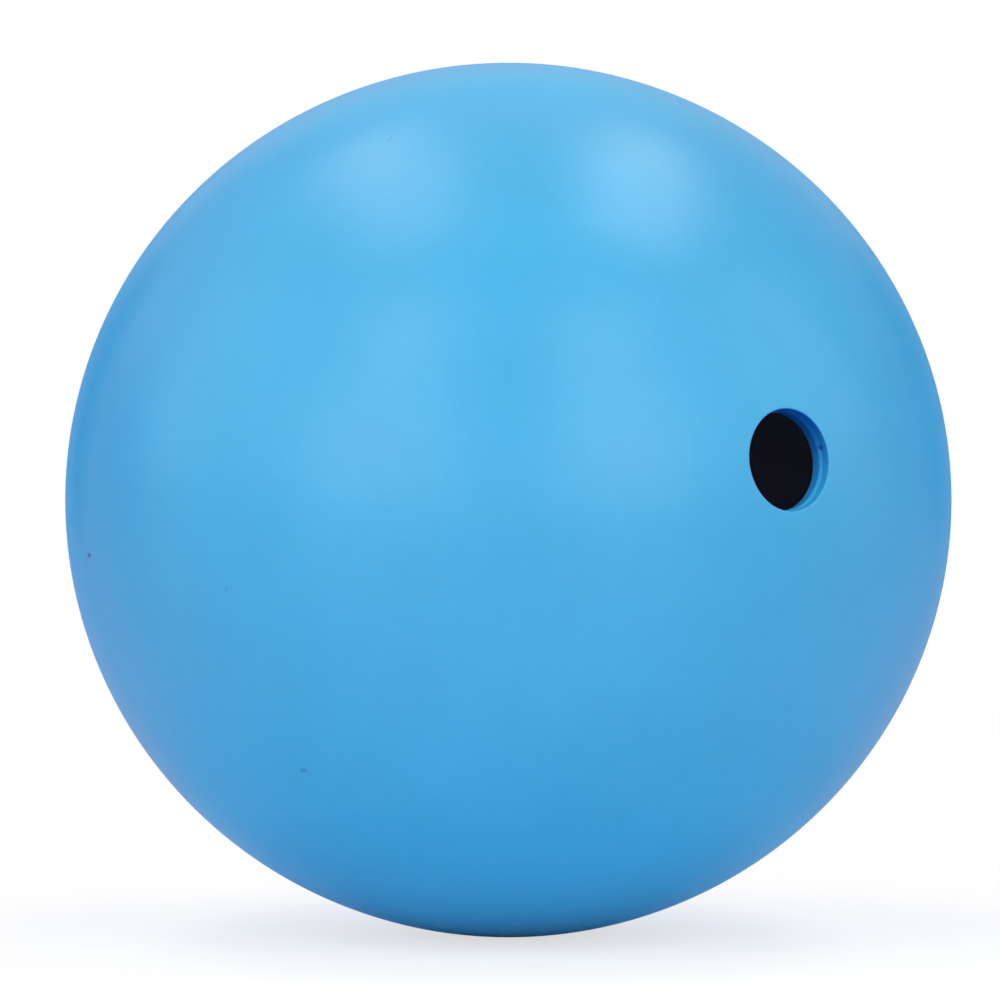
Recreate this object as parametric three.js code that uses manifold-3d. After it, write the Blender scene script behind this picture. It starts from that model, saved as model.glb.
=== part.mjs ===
// Hollow moulded plastic ball for street and floor hockey, with one stepped round hole through its wall.
// Millimetres, +Z up, origin at the ball's centre. The ball lies on its lowest point, and its hole faces
// +X, tipped up a little. It is one moulding: an outer skin, an inner skin and a round neck through the
// wall, which narrows a little in a sloping step part of the way in.

import * as THREE from "three";
import { mergeVertices } from "three/addons/utils/BufferGeometryUtils.js";
import Module from "manifold-3d";

const wasm = await Module();
wasm.setup();

// Ball
const EQUATOR_DIAMETER = 68; // across the ball, level with the floor
const POLE_DIAMETER = 67.1; // top to bottom, where the moulding has shrunk a little more
const WALL = 1.72;

// Hole
const HOLE_DIAMETER = 7.4; // at the outer skin, down to the step
const STEP_WIDTH = 0.13; // how far the step stands in from the hole's wall, all round
const STEP_DEPTH = 0.68; // from the hole's edge down to where the step begins
const STEP_LENGTH = 0.27; // the step is a slope, and this is how much deeper it ends
const EDGE_BREAK = 0.12; // taken off the sharp edge where the hole meets the outer skin
const HOLE_TILT = THREE.MathUtils.degToRad(5.7); // how far the hole's axis points up from level

// Fineness of the round surfaces
const OUTER_SEGMENTS = 72;
const INNER_SEGMENTS = 48;
const HOLE_SEGMENTS = 40;
const CUTTER_OVERRUN = 2; // how far the hole's cutter reaches past the inner and the outer skin

const BLUE_PLASTIC = new THREE.MeshStandardMaterial({
  color: 0x58b0e2,
  roughness: 0.38,
  metalness: 0,
});

// A solid that can be cut, from a closed geometry.
function solidFrom(geometry) {
  const bare = geometry.clone();
  bare.deleteAttribute("normal");
  bare.deleteAttribute("uv");
  const merged = mergeVertices(bare);
  const mesh = new wasm.Mesh({
    numProp: 3,
    vertProperties: new Float32Array(merged.getAttribute("position").array),
    triVerts: new Uint32Array(merged.index.array),
  });
  return new wasm.Manifold(mesh);
}

function geometryFrom(solid) {
  const mesh = solid.getMesh();
  const geometry = new THREE.BufferGeometry();
  geometry.setAttribute("position", new THREE.BufferAttribute(mesh.vertProperties, 3));
  geometry.setIndex(new THREE.BufferAttribute(mesh.triVerts, 1));
  geometry.computeVertexNormals();
  return geometry;
}

// The ball's outer skin, or its inner one when drawn in by the wall.
function skin(inset, segments) {
  const equatorRadius = EQUATOR_DIAMETER / 2 - inset;
  const poleRadius = POLE_DIAMETER / 2 - inset;
  const ball = new THREE.SphereGeometry(1, segments, segments / 2);
  ball.rotateX(Math.PI / 2);
  ball.scale(equatorRadius, equatorRadius, poleRadius);
  return solidFrom(ball);
}

// Distance from the ball's centre to a skin, along the hole's axis.
function reachAlongHole(inset) {
  const equatorRadius = EQUATOR_DIAMETER / 2 - inset;
  const poleRadius = POLE_DIAMETER / 2 - inset;
  return 1 / Math.hypot(Math.cos(HOLE_TILT) / equatorRadius, Math.sin(HOLE_TILT) / poleRadius);
}

// The space of the hole, revolved about its axis: neck, sloping step, outer bore and broken edge.
function holeSpace() {
  const holeRadius = HOLE_DIAMETER / 2;
  const neckRadius = holeRadius - STEP_WIDTH;
  const inside = reachAlongHole(WALL) - CUTTER_OVERRUN;
  const edge = Math.sqrt(reachAlongHole(0) ** 2 - holeRadius ** 2);
  const step = edge - STEP_DEPTH;
  const outside = edge + CUTTER_OVERRUN;
  const profile = [
    [0, inside],
    [neckRadius, inside],
    [neckRadius, step - STEP_LENGTH],
    [holeRadius, step],
    [holeRadius, edge - EDGE_BREAK],
    [holeRadius + EDGE_BREAK + CUTTER_OVERRUN, outside],
    [0, outside],
  ].map(([radius, along]) => new THREE.Vector2(radius, along));
  const space = new THREE.LatheGeometry(profile, HOLE_SEGMENTS);
  space.rotateZ(-Math.PI / 2); // the lathe turns about Y, and the hole faces +X
  space.rotateY(-HOLE_TILT);
  return solidFrom(space);
}

function ballShell() {
  const shell = skin(0, OUTER_SEGMENTS).subtract(skin(WALL, INNER_SEGMENTS)).subtract(holeSpace());
  const mesh = new THREE.Mesh(geometryFrom(shell), BLUE_PLASTIC);
  mesh.name = "ball_shell";
  return mesh;
}

const ball = new THREE.Group();
ball.add(ballShell());

export default ball;
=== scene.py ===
from collections import namedtuple
import math

import bmesh
import bpy
from mathutils import Matrix, Vector


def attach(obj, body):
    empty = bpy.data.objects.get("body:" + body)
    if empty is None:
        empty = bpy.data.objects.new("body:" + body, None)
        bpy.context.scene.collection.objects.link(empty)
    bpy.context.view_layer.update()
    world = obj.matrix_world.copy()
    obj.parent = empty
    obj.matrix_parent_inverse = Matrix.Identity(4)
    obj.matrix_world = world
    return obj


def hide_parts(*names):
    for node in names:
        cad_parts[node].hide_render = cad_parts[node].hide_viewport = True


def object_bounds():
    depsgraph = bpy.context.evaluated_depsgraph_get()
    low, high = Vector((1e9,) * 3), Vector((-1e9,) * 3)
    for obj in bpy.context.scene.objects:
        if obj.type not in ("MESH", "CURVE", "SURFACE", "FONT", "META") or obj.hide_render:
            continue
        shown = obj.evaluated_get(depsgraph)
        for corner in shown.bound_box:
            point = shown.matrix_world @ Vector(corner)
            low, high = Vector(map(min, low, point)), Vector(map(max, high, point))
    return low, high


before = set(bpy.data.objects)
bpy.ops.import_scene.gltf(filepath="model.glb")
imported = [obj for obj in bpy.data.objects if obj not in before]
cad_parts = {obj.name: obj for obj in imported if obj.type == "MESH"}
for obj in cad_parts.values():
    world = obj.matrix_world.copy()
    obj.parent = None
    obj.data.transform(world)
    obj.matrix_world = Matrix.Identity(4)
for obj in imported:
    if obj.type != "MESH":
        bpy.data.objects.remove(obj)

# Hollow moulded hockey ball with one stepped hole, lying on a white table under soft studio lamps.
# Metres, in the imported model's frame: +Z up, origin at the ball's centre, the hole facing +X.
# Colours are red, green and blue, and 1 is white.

MM = 0.001
CAD_LOW, CAD_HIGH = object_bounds()

# Ball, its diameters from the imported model
EQUATOR_RADIUS = (CAD_HIGH.y - CAD_LOW.y) / 2
POLE_RADIUS = (CAD_HIGH.z - CAD_LOW.z) / 2
WALL = 1.72 * MM
INNER_RADIUS = EQUATOR_RADIUS - WALL

# Hole, as in the CAD
HOLE_RADIUS = 3.7 * MM  # at the outer skin, down to the step
STEP_WIDTH = 0.13 * MM  # how far the step stands in from the hole's wall, all round
STEP_DEPTH = 0.68 * MM  # from the hole's edge down to where the step begins
STEP_LENGTH = 0.27 * MM  # the step is a slope, and this is how much deeper it ends
HOLE_TILT = math.radians(5.7)  # how far the hole's axis points up from level

# Places along the hole's axis, from the ball's centre
HOLE_EDGE = math.sqrt(EQUATOR_RADIUS ** 2 - HOLE_RADIUS ** 2)
STEP_TOP = HOLE_EDGE - STEP_DEPTH
STEP_FOOT = STEP_TOP - STEP_LENGTH

# Rounded edges
EDGE_ROUND = 0.14 * MM  # the hole's outer edge
STEP_ROUND = 0.05 * MM  # both ends of the sloping step
MOUTH_ROUND = 0.1 * MM  # where the neck opens into the hollow

# Fineness of the shell
AROUND = 224
OUTER_RINGS = 176
INNER_RINGS = 72
ROUND_STEPS = 5

# Plastic
BLUE = (0.055, 0.432, 0.746)
MOTTLE = 0.03  # how much lighter and darker the blue clouds over
CLOUD_SHARE = 0.7  # of the mottle, and fine grain makes the rest
CLOUDS_PER_METRE = 70
GRAINS_PER_METRE = 900
SMOOTHEST = 0.28
ROUGHEST = 0.32
ROUGH_PATCHES_PER_METRE = 45
REFRACTION = 1.5
GLOSS = 0.43
WAVES_PER_METRE = 110
WAVE_HEIGHT = 0.03 * MM
PORES_PER_METRE = 2400
PORE_DEPTH = 0.002 * MM

# Noise lies mostly between these values, and is stretched from them over its whole range
COARSE_NOISE = (0.35, 0.65)
FINE_NOISE = (0.3, 0.7)

# Hole's wall: painted light at its bottom and painted shade at its top, so the same blue plastic is pale
# low down and deep blue high up
BORE_PAINTED_LIGHT = (0.055, 0.5, 0.93)
BORE_PAINTED_SHADE = (0, 0.13, 0.5)
NECK_PAINTED_LIGHT = (0.04, 0.4, 0.9)
NECK_PAINTED_SHADE = (0, 0.09, 0.36)
PAINTED_LIGHT_STRONGEST_AT = -0.95 * HOLE_RADIUS  # from the hole's axis, and so below it: where the painted light is strongest
STEP_PAINTED_SHADE_FROM = 0.5 * HOLE_RADIUS  # above the axis. From here up the step has the neck's painted shade too.

# Inner skin: painted pale, as painted light that keeps the hollow from going black, and dull
INNER_SKIN_PAINTED_LIGHT = (0.8, 0.78, 0.95)
INNER_SKIN_ROUGHNESS = 0.3  # added to the plastic's own

# How far out from the hole's wall, or from the inner skin, their painted light and shade starts and is full
COLOUR_STARTS = 0.06 * MM
COLOUR_FULL = 0.01 * MM

# Specks. A stray one lies in each cell of space, and the few that meet the ball's skin show.
SPECK_COLOUR = (0, 0.07, 0.26)
STRAY_CELLS_PER_METRE = 128
STRAY_RADIUS = 0.1875 * MM
STRAY_DARKNESS = 0.7

# Camera
CAMERA_DISTANCE = 12 * EQUATOR_RADIUS
CAMERA_AZIMUTH = 36.9  # degrees from +X towards -Y, as seen from above
CAMERA_ELEVATION = 1  # degrees above level
LENS = 190.8
AIM_LEFT = 0.64 * MM  # the ball is a little to the right of the frame's middle
NEAREST_SEEN = 0.01
FARTHEST_SEEN = 20

# Table, as the ball mirrors it and is lit by it
TABLE_RADIUS = 0.7
TABLE_SIDES = 128
TABLE_COLOUR = (0.72, 0.67, 0.8)
# By the ball the table is painted bluer and brighter: painted bounce light from the blue ball.
TABLE_PAINTED_BOUNCE = (0.55, 0.86, 0.98)
BY_THE_BALL = 0.6 * EQUATOR_RADIUS  # out to here the table has the painted blue bounce light by the ball
CLEAR_OF_THE_BALL = 1.8 * EQUATOR_RADIUS  # and from here on its own
TABLE_ROUGHNESS = 0.12
TABLE_POLISH = 1

# Table, as the camera sees it: shaded by the ball, and lifted to white by a glow
TABLE_SHADED = (0.47, 0.42, 0.37)
TABLE_GLOW = 0.67
SHADE_FADES_FROM = 0.045
SHADE_REACH = 0.3

# Studio. A nearer lamp or card covers what is behind it.
ROOM_LIGHT = 0.14  # what the white room adds besides its lamps
LAMP_DISTANCE = 0.9
STRIP_DISTANCE = 1.12
SIDE_CARD_DISTANCE = 1.15
CARD_DISTANCE = 1.2
TOP_CARD_DISTANCE = 1.25
CAMERA_CARD_DISTANCE = 1.3

Speck = namedtuple("Speck", "place radius darkness")


def away_from_ball(side, height):
    """A direction from the ball's centre: degrees right of the camera and above level."""
    turn = math.radians(side - CAMERA_AZIMUTH)
    lift = math.radians(height)
    return Vector((math.cos(turn) * math.cos(lift), math.sin(turn) * math.cos(lift), math.sin(lift)))


def new_object(name, data):
    thing = bpy.data.objects.new(name, data)
    bpy.context.scene.collection.objects.link(thing)
    return thing


def object_from(mesh, name):
    data = bpy.data.meshes.new(name)
    mesh.to_mesh(data)
    mesh.free()
    return new_object(name, data)


# Shell


def round_corner(start, corner, end):
    """Points of a rounded corner, from its start on one side to its end on the other."""
    start, corner, end = Vector(start), Vector(corner), Vector(end)
    points = []
    for i in range(ROUND_STEPS + 1):
        t = i / ROUND_STEPS
        points.append(start * (1 - t) ** 2 + corner * 2 * t * (1 - t) + end * t ** 2)
    return points


def arc(radius, start, end, rings):
    """Points on a circle about the ball's centre: distance from the hole's axis, and place along it."""
    angles = [start + (end - start) * i / rings for i in range(rings + 1)]
    return [Vector((radius * math.sin(a), radius * math.cos(a))) for a in angles]


def shell_profile():
    """The wall's section, from the outer skin's far pole round through the hole to the inner skin's."""
    outer, inner = EQUATOR_RADIUS, INNER_RADIUS
    neck = HOLE_RADIUS - STEP_WIDTH
    mouth = math.sqrt(inner ** 2 - neck ** 2)
    step_top = Vector((HOLE_RADIUS, STEP_TOP))
    step_foot = Vector((neck, STEP_FOOT))
    slope = (step_foot - step_top).normalized() * STEP_ROUND
    along = Vector((0, STEP_ROUND))
    outer_end = math.asin(HOLE_RADIUS / outer) + EDGE_ROUND / outer
    inner_start = math.asin(neck / inner) + MOUTH_ROUND / inner
    outer_skin = arc(outer, math.pi, outer_end, OUTER_RINGS)
    inner_skin = arc(inner, inner_start, math.pi, INNER_RINGS)
    return [
        *outer_skin[:-1],
        *round_corner(outer_skin[-1], (HOLE_RADIUS, HOLE_EDGE), (HOLE_RADIUS, HOLE_EDGE - EDGE_ROUND)),
        *round_corner(step_top + along, step_top, step_top + slope),
        *round_corner(step_foot - slope, step_foot, step_foot - along),
        *round_corner((neck, mouth + MOUTH_ROUND), (neck, mouth), inner_skin[0]),
        *inner_skin[1:],
    ]


def spin(mesh, profile):
    """Revolves a profile, whose two ends are on the axis, about +X."""
    first = mesh.verts.new((profile[0].y, 0, 0))
    last = mesh.verts.new((profile[-1].y, 0, 0))
    rings = []
    for point in profile[1:-1]:
        ring = []
        for i in range(AROUND):
            turn = 2 * math.pi * i / AROUND
            ring.append(mesh.verts.new((point.y, point.x * math.cos(turn), point.x * math.sin(turn))))
        rings.append(ring)
    for i in range(AROUND):
        j = (i + 1) % AROUND
        mesh.faces.new((first, rings[0][j], rings[0][i]))
        for a, b in zip(rings, rings[1:]):
            mesh.faces.new((a[i], a[j], b[j], b[i]))
        mesh.faces.new((rings[-1][i], rings[-1][j], last))


def flatten(mesh):
    """Draws each point in towards the centre, by as much as the flattened ball is lower there."""
    flattening = POLE_RADIUS / EQUATOR_RADIUS
    for vert in mesh.verts:
        across = math.hypot(vert.co.x, vert.co.y)
        vert.co *= vert.co.length / math.hypot(across, vert.co.z / flattening)


def ball_shell():
    """The whole ball, as one smooth mesh in the place of the CAD's."""
    mesh = bmesh.new()
    spin(mesh, shell_profile())
    bmesh.ops.rotate(mesh, verts=mesh.verts, matrix=Matrix.Rotation(-HOLE_TILT, 3, "Y"))
    flatten(mesh)
    bmesh.ops.recalc_face_normals(mesh, faces=mesh.faces)
    for face in mesh.faces:
        face.smooth = True
    shell = object_from(mesh, "shell")
    shell.data.materials.append(blue_plastic())
    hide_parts("ball_shell")
    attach(shell, "root")


# Nodes


class Nodes:
    """Short calls for building the nodes of a material or of the world."""

    def __init__(self, owner):
        owner.use_nodes = True
        self.tree = owner.node_tree

    def new(self, kind, **inputs):
        """A new node. Base_Color=x gives x to its input Base Color."""
        node = self.tree.nodes.new("ShaderNode" + kind)
        for name, value in inputs.items():
            self.put(node.inputs[name.replace("_", " ")], value)
        return node

    def put(self, socket, value):
        """Links another node's output to a socket, or sets a number, a point or a colour there."""
        if isinstance(value, bpy.types.NodeSocket):
            self.tree.links.new(value, socket)
        elif socket.type == "RGBA":
            socket.default_value = (*value, 1)
        else:
            socket.default_value = value

    def take_out(self, name):
        self.tree.nodes.remove(self.tree.nodes[name])

    def surface(self, shader):
        self.put(self.tree.nodes["Material Output"].inputs["Surface"], shader)

    def noise(self, place, per_metre, detail=3):
        return self.new("TexNoise", Vector=place, Scale=per_metre, Detail=detail).outputs[0]

    def remap(self, value, low, high, to_low=0, to_high=1):
        """Carries a value from one range to another, gently at the ends, and stops there."""
        node = self.new("MapRange", Value=value, From_Min=low, From_Max=high, To_Min=to_low, To_Max=to_high)
        node.interpolation_type = "SMOOTHSTEP"
        return node.outputs["Result"]

    def math(self, operation, a, b=0):
        node = self.tree.nodes.new("ShaderNodeMath")
        node.operation = operation
        self.put(node.inputs[0], a)
        self.put(node.inputs[1], b)
        return node.outputs[0]

    def distance(self, place, point):
        node = self.tree.nodes.new("ShaderNodeVectorMath")
        node.operation = "DISTANCE"
        self.put(node.inputs[0], place)
        self.put(node.inputs[1], point)
        return node.outputs["Value"]

    def mix(self, share, first, second):
        """The first colour where the share is 0, and the second where it is 1."""
        node = self.tree.nodes.new("ShaderNodeMix")
        node.data_type = "RGBA"
        self.put(node.inputs["Factor"], share)
        for name, colour in (("A", first), ("B", second)):
            socket = next(s for s in node.inputs if s.name == name and s.type == "RGBA")
            self.put(socket, colour)
        return next(s for s in node.outputs if s.type == "RGBA")

    def mix_shaders(self, share, first, second):
        """The first shader where the share is 0, and the second where it is 1."""
        node = self.new("MixShader", Fac=share)
        self.put(node.inputs[1], first)
        self.put(node.inputs[2], second)
        return node.outputs[0]

    def add_shaders(self, first, second):
        node = self.new("AddShader")
        self.put(node.inputs[0], first)
        self.put(node.inputs[1], second)
        return node.outputs[0]

    def glow(self, **inputs):
        return self.new("Emission", **inputs).outputs[0]


# Plastic


def tone(colour, factor):
    return [part * factor for part in colour]


def mottled_blue(nodes, place):
    clouds = nodes.remap(nodes.noise(place, CLOUDS_PER_METRE), *COARSE_NOISE, 0, CLOUD_SHARE)
    grain = nodes.noise(place, GRAINS_PER_METRE, detail=2)
    grain = nodes.remap(grain, *FINE_NOISE, 0, 1 - CLOUD_SHARE)
    return nodes.mix(nodes.math("ADD", clouds, grain), tone(BLUE, 1 - MOTTLE), tone(BLUE, 1 + MOTTLE))


def level_with_hole(nodes, place):
    """How far each place is along the hole's axis, X, beside it, Y, and up from it, Z."""
    turned = nodes.new("VectorRotate", Vector=place, Angle=HOLE_TILT)
    turned.rotation_type = "Y_AXIS"
    return nodes.new("SeparateXYZ", Vector=turned.outputs[0]).outputs


def in_hole(nodes, level):
    """1 on the hole's wall, and 0 elsewhere."""
    beside = nodes.math("MULTIPLY", level["Y"], level["Y"])
    up = nodes.math("MULTIPLY", level["Z"], level["Z"])
    from_axis = nodes.math("SQRT", nodes.math("ADD", beside, up))
    near = nodes.remap(from_axis, HOLE_RADIUS + COLOUR_STARTS, HOLE_RADIUS + COLOUR_FULL)
    return nodes.math("MULTIPLY", near, nodes.math("GREATER_THAN", level["X"], 0))


def hole_painted_light_and_shade(nodes, level):
    """Painted light and shade on the hole's wall, lighter low down and darker high up: the bore's down to
    the step's foot and the neck's below it, which high up starts sooner.
    """
    height = nodes.remap(level["Z"], PAINTED_LIGHT_STRONGEST_AT, HOLE_RADIUS)
    bore = nodes.mix(height, BORE_PAINTED_LIGHT, BORE_PAINTED_SHADE)
    neck = nodes.mix(height, NECK_PAINTED_LIGHT, NECK_PAINTED_SHADE)
    rise = nodes.remap(level["Z"], 0, STEP_PAINTED_SHADE_FROM, 0, STEP_LENGTH)
    along = nodes.math("SUBTRACT", level["X"], rise)
    return nodes.mix(nodes.remap(along, STEP_FOOT, STEP_FOOT - 2 * STEP_ROUND), bore, neck)


def on_inner_skin(nodes, place):
    """1 on the inner skin and within it, and 0 elsewhere."""
    from_centre = nodes.distance(place, (0, 0, 0))
    return nodes.remap(from_centre, INNER_RADIUS + COLOUR_STARTS, INNER_RADIUS + COLOUR_FULL)


def on_skin(side, height):
    """The point of the outer skin in a direction from the centre."""
    out = away_from_ball(side, height)
    across = math.hypot(out.x, out.y)
    return out / math.hypot(across / EQUATOR_RADIUS, out.z / POLE_RADIUS)


def on_step(turn):
    """The point where the step begins, so many degrees round from the hole's top towards +Y."""
    turn = math.radians(turn)
    beside = HOLE_RADIUS * math.sin(turn)
    up = HOLE_RADIUS * math.cos(turn)
    return Matrix.Rotation(-HOLE_TILT, 3, "Y") @ Vector((STEP_TOP, beside, up))


def photographed_specks():
    """The specks that the photo shows."""
    return [
        # Two side by side near the left rim, which look like one in the photo
        Speck(on_skin(side=-68.2, height=-6.6), radius=0.24 * MM, darkness=1),
        Speck(on_skin(side=-67.5, height=-6.6), radius=0.24 * MM, darkness=1),
        # Two low on the left
        Speck(on_skin(side=-32.6, height=-34.65), radius=0.22 * MM, darkness=0.48),
        Speck(on_skin(side=-32, height=-34.6), radius=0.22 * MM, darkness=0.4),
        # A faint one left of the middle
        Speck(on_skin(side=-37.45, height=-10.1), radius=0.22 * MM, darkness=0.25),
        # Two faint ones high on the left
        Speck(on_skin(side=-25.3, height=53), radius=0.2 * MM, darkness=0.25),
        Speck(on_skin(side=-25.3, height=52.4), radius=0.2 * MM, darkness=0.25),
        # One in the hole
        Speck(on_step(turn=75), radius=0.28 * MM, darkness=0.85),
    ]


def spot(nodes, distance, radius, darkness):
    """Darkness that fades over the outer half of a spot's radius."""
    return nodes.remap(distance, 0.5 * radius, radius, darkness, 0)


def specks(nodes, place):
    """How dark each place is with specks, and 0 where there are none."""
    cells = nodes.new("TexVoronoi", Vector=place, Scale=STRAY_CELLS_PER_METRE)
    radius = STRAY_RADIUS * STRAY_CELLS_PER_METRE
    dark = spot(nodes, cells.outputs["Distance"], radius, STRAY_DARKNESS)
    for speck in photographed_specks():
        distance = nodes.distance(place, speck.place)
        dark = nodes.math("MAXIMUM", dark, spot(nodes, distance, speck.radius, speck.darkness))
    return dark


def plastic_colour(nodes, place, inside):
    level = level_with_hole(nodes, place)
    # On the hole's wall, painted light and shade take the place of the mottled blue.
    blue = nodes.mix(in_hole(nodes, level), mottled_blue(nodes, place), hole_painted_light_and_shade(nodes, level))
    specked = nodes.mix(specks(nodes, place), blue, SPECK_COLOUR)
    # The inner skin is painted pale: painted light in the hollow.
    return nodes.mix(inside, specked, INNER_SKIN_PAINTED_LIGHT)


def plastic_roughness(nodes, place, inside):
    noise = nodes.noise(place, ROUGH_PATCHES_PER_METRE)
    patches = nodes.remap(noise, *COARSE_NOISE, SMOOTHEST, ROUGHEST)
    return nodes.math("ADD", patches, nodes.math("MULTIPLY", inside, INNER_SKIN_ROUGHNESS))


def plastic_unevenness(nodes, place):
    """Slow waves from the mould, with fine pores over them."""
    waves = nodes.noise(place, WAVES_PER_METRE, detail=2)
    pores = nodes.noise(place, PORES_PER_METRE, detail=2)
    wavy = nodes.new("Bump", Height=waves, Strength=1, Distance=WAVE_HEIGHT).outputs["Normal"]
    return nodes.new("Bump", Height=pores, Strength=1, Distance=PORE_DEPTH, Normal=wavy).outputs["Normal"]


def blue_plastic():
    material = bpy.data.materials.new("blue_plastic")
    nodes = Nodes(material)
    place = nodes.new("TexCoord").outputs["Object"]
    inside = on_inner_skin(nodes, place)
    shader = nodes.tree.nodes["Principled BSDF"]
    nodes.put(shader.inputs["Base Color"], plastic_colour(nodes, place, inside))
    nodes.put(shader.inputs["Roughness"], plastic_roughness(nodes, place, inside))
    nodes.put(shader.inputs["Normal"], plastic_unevenness(nodes, place))
    shader.inputs["IOR"].default_value = REFRACTION
    shader.inputs["Specular IOR Level"].default_value = GLOSS
    return material


# Lamps and cards


def face_ball(thing, side, height, distance):
    out = away_from_ball(side, height)
    thing.location = out * distance
    thing.rotation_mode = "QUATERNION"
    thing.rotation_quaternion = out.to_track_quat("Z", "Y")


def soft_lamp(name, side, height, width, tall, glow):
    """An area lamp, so many degrees wide and tall as seen from the ball. Glow 1 is as bright as white."""
    data = bpy.data.lights.new(name, "AREA")
    data.shape = "RECTANGLE"
    data.size = 2 * LAMP_DISTANCE * math.tan(math.radians(width / 2))
    data.size_y = 2 * LAMP_DISTANCE * math.tan(math.radians(tall / 2))
    data.energy = glow * math.pi * data.size * data.size_y
    lamp = new_object(name, data)
    face_ball(lamp, side, height, LAMP_DISTANCE)
    lamp.visible_camera = False


def glowing(name, colour):
    material = bpy.data.materials.new(name)
    nodes = Nodes(material)
    nodes.take_out("Principled BSDF")
    nodes.surface(nodes.glow(Color=colour))
    return material


def card(name, side, height, width, tall, colour, distance=CARD_DISTANCE):
    """A plain card, sized in degrees as a lamp is. The ball mirrors it, and the camera doesn't see it."""
    mesh = bmesh.new()
    bmesh.ops.create_grid(mesh, x_segments=1, y_segments=1, size=distance)
    flag = object_from(mesh, name)
    face_ball(flag, side, height, distance)
    flag.scale = (math.tan(math.radians(width / 2)), math.tan(math.radians(tall / 2)), 1)
    flag.data.materials.append(glowing(name, colour))
    flag.visible_camera = False


def add_lamps():
    """Bright lamps, whose highlights the photo shows, and dim ones that darken what the ball mirrors."""
    soft_lamp("overhead_left", side=-88, height=71, width=31, tall=20, glow=2.3)
    soft_lamp("overhead_left_core", side=-138, height=60, width=14, tall=12, glow=1.96)
    soft_lamp("overhead_right", side=96, height=67, width=30, tall=18, glow=2.75)
    soft_lamp("overhead_right_core", side=141, height=59, width=11, tall=13, glow=2.3)
    soft_lamp("front_left_low", side=-33, height=13, width=40, tall=25, glow=2.05)
    soft_lamp("front_left_high", side=-33, height=39, width=24, tall=26, glow=1.96)
    soft_lamp("front_left_bulb", side=-31, height=43, width=7, tall=11, glow=2.2)
    soft_lamp("front_right_low", side=30, height=13, width=34, tall=25, glow=2.26)
    soft_lamp("front_right_high", side=28.5, height=38, width=23, tall=24, glow=2.19)
    soft_lamp("front_middle", side=0, height=4, width=26, tall=16, glow=0.42)
    soft_lamp("side_left", side=-81, height=25, width=46, tall=40, glow=0.6)
    soft_lamp("side_right", side=79, height=25, width=44, tall=40, glow=0.6)


def add_strips():
    """Cards for the ball's left and right rims, in front of the others."""
    card("strip_left", side=-145.5, height=8, width=13, tall=24,
         colour=(0, 0.2, 0.56), distance=STRIP_DISTANCE)
    card("strip_upper_left", side=-146, height=34, width=16, tall=28,
         colour=(0.38, 0.53, 0.76), distance=STRIP_DISTANCE)
    card("strip_right", side=144.5, height=8, width=15, tall=26,
         colour=(0.06, 0.28, 0.58), distance=STRIP_DISTANCE)


def add_cards():
    """Cards behind the ball and beside it, which colour what its rims mirror, and one above the camera."""
    card("card_behind", side=180, height=5, width=60, tall=18, colour=(0.24, 0.4, 0.74))
    card("card_behind_high", side=180, height=22, width=60, tall=16, colour=(0.52, 0.6, 0.82))
    card("card_left", side=-121, height=4, width=34, tall=24,
         colour=(0.36, 0.34, 0.68), distance=SIDE_CARD_DISTANCE)
    card("card_right", side=124, height=5, width=26, tall=24,
         colour=(0.3, 0.37, 0.72), distance=SIDE_CARD_DISTANCE)
    card("card_upper_left", side=-123, height=31, width=30, tall=34, colour=(0.68, 0.6, 1))
    card("card_upper_right", side=130, height=33, width=50, tall=34, colour=(0.44, 0.58, 0.82))
    card("card_above_behind", side=180, height=43, width=90, tall=24,
         colour=(0.6, 0.92, 1.1), distance=TOP_CARD_DISTANCE)
    card("card_camera", side=0, height=35, width=14, tall=46,
         colour=(0.66, 0.66, 0.66), distance=CAMERA_CARD_DISTANCE)


# Table


def mirrored_table(nodes, from_ball):
    """What all but the camera meets: a satin table, with painted blue bounce light by the ball."""
    clear = nodes.remap(from_ball, BY_THE_BALL, CLEAR_OF_THE_BALL)
    satin = nodes.new("BsdfPrincipled", Roughness=TABLE_ROUGHNESS, Specular_IOR_Level=TABLE_POLISH)
    nodes.put(satin.inputs["Base Color"], nodes.mix(clear, TABLE_PAINTED_BOUNCE, TABLE_COLOUR))
    return satin.outputs[0]


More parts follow.
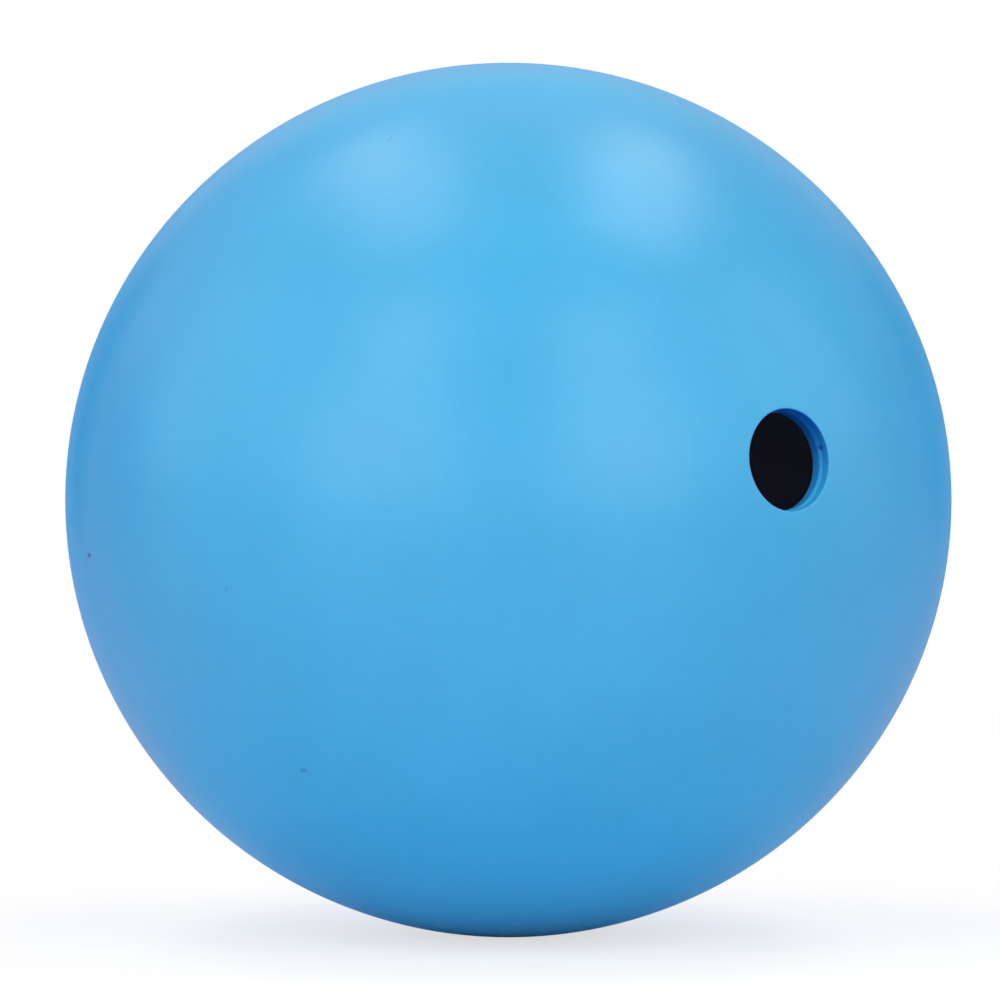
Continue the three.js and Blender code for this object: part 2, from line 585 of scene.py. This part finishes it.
def seen_table(nodes, from_ball):
    """What the camera meets: white, but for the ball's soft shade."""
    shaded = nodes.new("BsdfDiffuse", Color=TABLE_SHADED).outputs[0]
    shaded = nodes.add_shaders(shaded, nodes.glow(Strength=TABLE_GLOW))
    fade = nodes.remap(from_ball, SHADE_FADES_FROM, SHADE_REACH)
    return nodes.mix_shaders(fade, shaded, nodes.glow(Strength=1))


def white_table():
    material = bpy.data.materials.new("white_table")
    nodes = Nodes(material)
    nodes.take_out("Principled BSDF")
    place = nodes.new("TexCoord").outputs["Object"]
    from_ball = nodes.distance(place, (0, 0, 0))
    to_camera = nodes.new("LightPath").outputs["Is Camera Ray"]
    table = nodes.mix_shaders(to_camera, mirrored_table(nodes, from_ball), seen_table(nodes, from_ball))
    nodes.surface(table)
    return material


def add_table():
    mesh = bmesh.new()
    bmesh.ops.create_circle(mesh, cap_ends=True, segments=TABLE_SIDES, radius=TABLE_RADIUS)
    table = object_from(mesh, "table")
    table.location.z = CAD_LOW.z
    table.data.materials.append(white_table())


# Room and camera


def add_room():
    """White where it is seen or mirrored, and dimmer as a light."""
    world = bpy.data.worlds.new("studio")
    bpy.context.scene.world = world
    nodes = Nodes(world)
    rays = nodes.new("LightPath").outputs
    seen = nodes.math("MAXIMUM", rays["Is Camera Ray"], rays["Is Glossy Ray"])
    seen = nodes.math("MAXIMUM", seen, rays["Is Transmission Ray"])
    background = nodes.tree.nodes["Background"]
    nodes.put(background.inputs["Color"], (1, 1, 1))
    nodes.put(background.inputs["Strength"], nodes.remap(seen, 0, 1, ROOM_LIGHT, 1))


def add_camera():
    back = away_from_ball(0, CAMERA_ELEVATION)
    right = Vector((0, 0, 1)).cross(back).normalized()
    data = bpy.data.cameras.new("camera")
    data.lens = LENS
    data.clip_start = NEAREST_SEEN
    data.clip_end = FARTHEST_SEEN
    camera = new_object("camera", data)
    camera.location = back * CAMERA_DISTANCE - right * AIM_LEFT
    camera.rotation_mode = "QUATERNION"
    camera.rotation_quaternion = back.to_track_quat("Z", "Y")
    bpy.context.scene.camera = camera


bpy.context.scene.view_settings.view_transform = "Standard"
ball_shell()
add_camera()
add_room()
add_table()
add_lamps()
add_strips()
add_cards()
